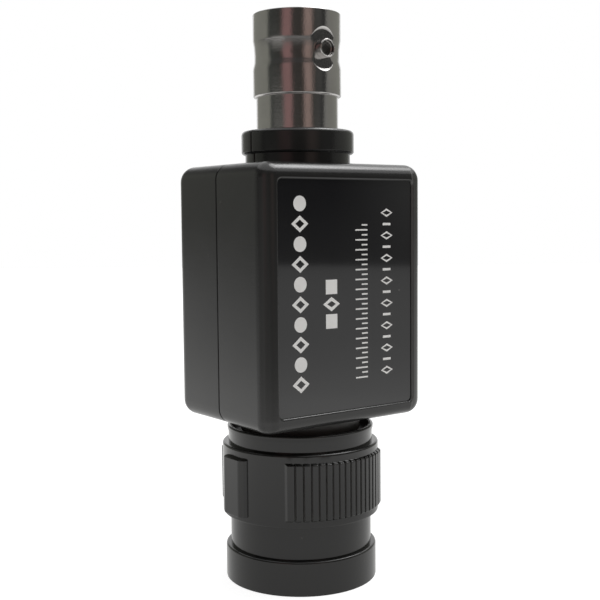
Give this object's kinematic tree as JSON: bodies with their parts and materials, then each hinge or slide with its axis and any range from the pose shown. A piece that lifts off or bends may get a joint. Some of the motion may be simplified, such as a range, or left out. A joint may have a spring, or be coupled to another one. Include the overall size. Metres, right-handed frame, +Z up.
{
  "type": "signal attenuator",
  "caption": "Inline coaxial signal attenuator: a small two-shell case round a divider circuit, with a bayonet jack on top and a shrouded bayonet plug below.",
  "frame": {"origin": "centre of the plug's open end, on the axis that both connectors share", "axes": "+Z up along the connectors' axis towards the jack; -Y is the labelled front; X runs across the case"},
  "size_m": [0.0214, 0.0182, 0.0624],
  "materials": {
    "case_plastic": "fine satin texture",
    "label_gloss": "smooth gloss with pale print",
    "coupling_plastic": "semi-gloss moulding",
    "dark_plate": "dark nickel plate, turned",
    "bright_plate": "nickel plate",
    "gold_plate": "gold plate",
    "insulator_white": "waxy",
    "seal_rubber": "matt",
    "spring_steel": "bright",
    "tinned_brass": "tinned",
    "board_green": "solder mask",
    "resistor_coat": "lacquer",
    "resistor_tan": "lacquer",
    "disc_coat": "dipped lacquer",
    "film_case": "moulded",
    "trimmer_cream": "ceramic"
  },
  "bodies": {
    "body": {"front_shell": "case_plastic", "rear_shell": "case_plastic", "label_panel": "label_gloss", "jack_body": "dark_plate", "jack_lugs": "dark_plate", "jack_insulator": "insulator_white", "jack_contact": "gold_plate", "jack_ground_lug": "tinned_brass", "jack_nut": "bright_plate", "circuit_board": "board_green", "series_resistors": "resistor_coat", "shunt_resistor": "resistor_tan", "series_capacitor": "disc_coat", "shunt_capacitor": "film_case", "trimmer_stator": "trimmer_cream", "plug_body": "bright_plate", "plug_outer_contact": "bright_plate", "plug_insulator": "insulator_white", "plug_pin": "gold_plate", "plug_gasket": "seal_rubber", "plug_ground_lug": "tinned_brass", "plug_nut": "bright_plate", "coupling_clip": "spring_steel", "wave_spring": "spring_steel"},
    "washer": {"thrust_washer": "spring_steel"},
    "coupling": {"bayonet_ring": "bright_plate", "coupling_shroud": "coupling_plastic"},
    "trimmer": {"trimmer_rotor": "bright_plate"}
  },
  "joints": [
    {"name": "coupling_float", "type": "slide", "parent": "body", "child": "washer", "axis": [0, 0, -1], "range_m": [0, 0.0004], "stiffness_N_per_m": 6000, "springref_m": -0.0003, "deforming": ["wave_spring"]},
    {"name": "coupling_turn", "type": "hinge", "parent": "washer", "child": "coupling", "pos_m": [0, 0, 0.0085], "axis": [0, 0, 1], "continuous": true},
    {"name": "trimmer_turn", "type": "hinge", "parent": "body", "child": "trimmer", "pos_m": [0.0044, -0.0015, 0.0286], "axis": [0, -1, 0], "continuous": true}
  ]
}
